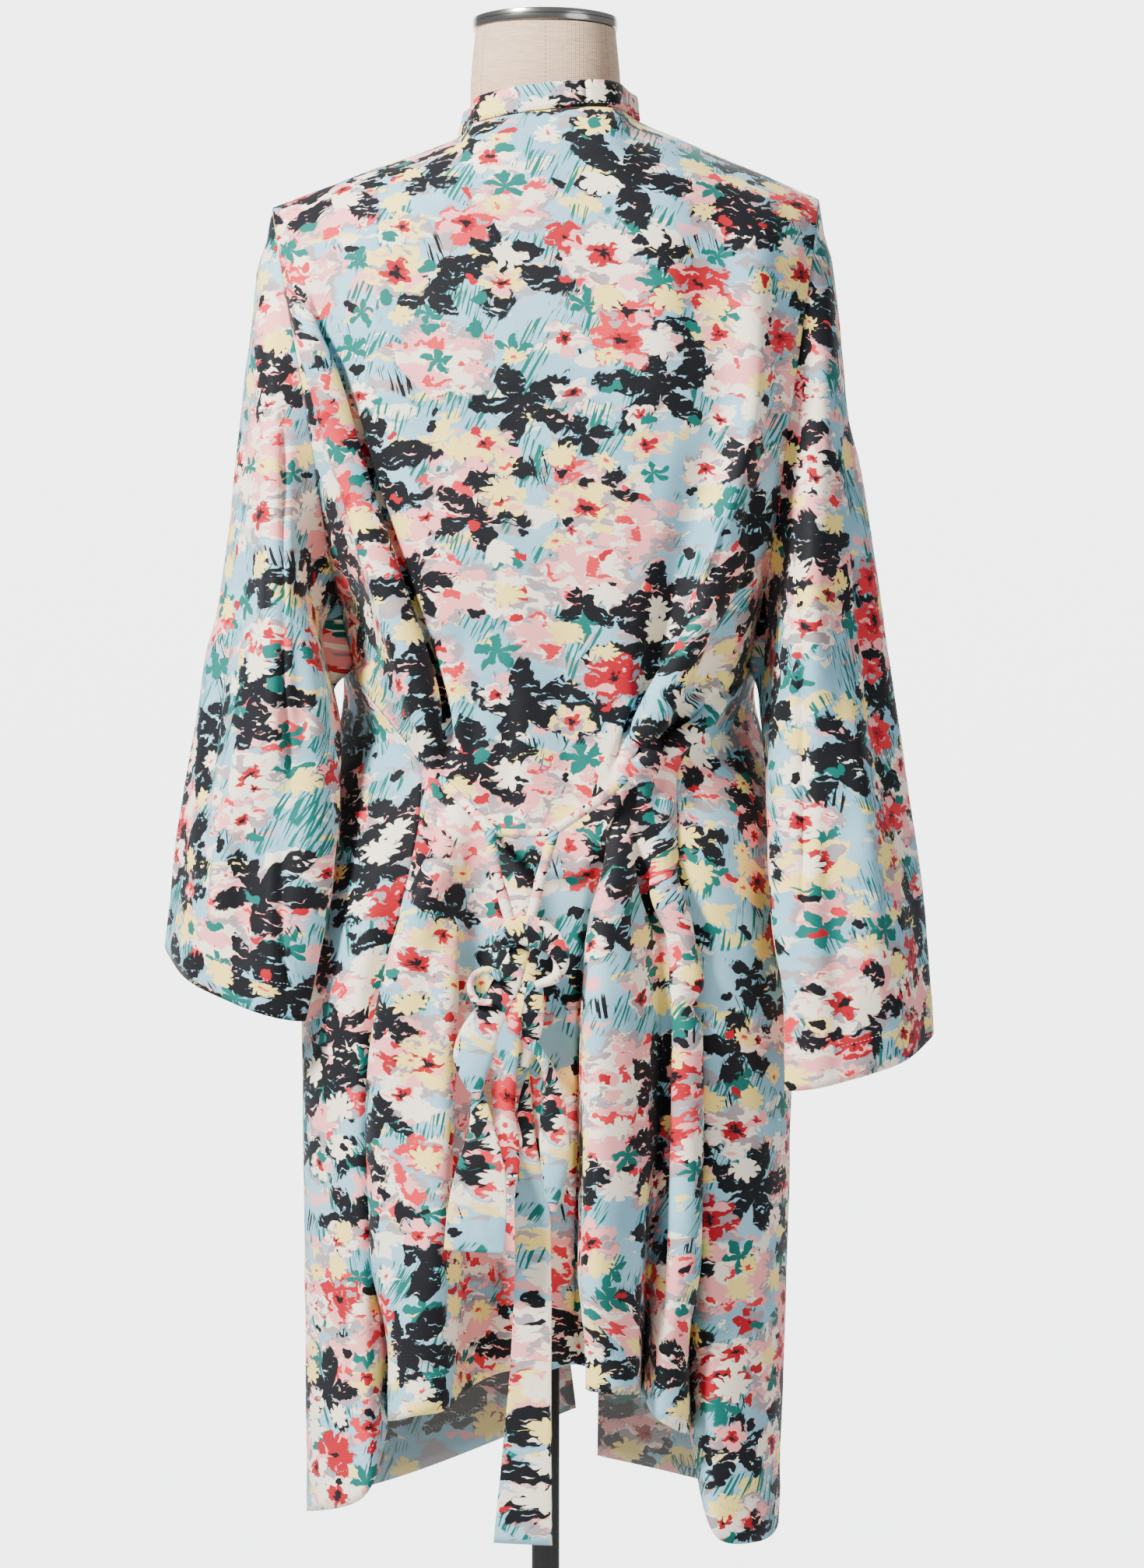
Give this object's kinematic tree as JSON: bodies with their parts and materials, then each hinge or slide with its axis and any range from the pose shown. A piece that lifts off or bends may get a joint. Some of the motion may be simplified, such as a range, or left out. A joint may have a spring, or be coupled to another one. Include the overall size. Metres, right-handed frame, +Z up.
{
  "type": "kimono jacket on a dress form",
  "caption": "Open kimono jacket with long wide sleeves and side ties knotted in a bow at the back, on a smooth limbless dress form on a round-based stand.",
  "frame": {"origin": "centre of the stand base's underside, on the floor", "axes": "+Z up; the jacket's back, with its bow, faces -Y; the wearer's left is at -X"},
  "size_m": [0.5516, 0.32, 1.5503],
  "materials": {
    "printed_cloth": "fine matt knit with a painterly floral print",
    "form_linen": "plain linen cover",
    "rim_metal": "polished",
    "stand_black": "satin black"
  },
  "bodies": {
    "root": {"back_panel": "printed_cloth", "front_left": "printed_cloth", "front_right": "printed_cloth", "sleeve_left": "printed_cloth", "sleeve_right": "printed_cloth", "neckband_left": "printed_cloth", "neckband_right": "printed_cloth", "tie_left": "printed_cloth", "tie_right": "printed_cloth", "knot_strip": "printed_cloth", "strand_left": "printed_cloth", "strand_right": "printed_cloth", "bow_loop": "printed_cloth", "bow_tongue": "printed_cloth", "bow_small_loop": "printed_cloth", "bow_back_band": "printed_cloth", "long_loop": "printed_cloth", "long_tail": "printed_cloth", "short_tail": "printed_cloth", "form_torso": "form_linen", "neck_rim": "rim_metal", "pole_collar": "stand_black", "stand_pole": "stand_black", "stand_base": "stand_black"}
  },
  "joints": []
}
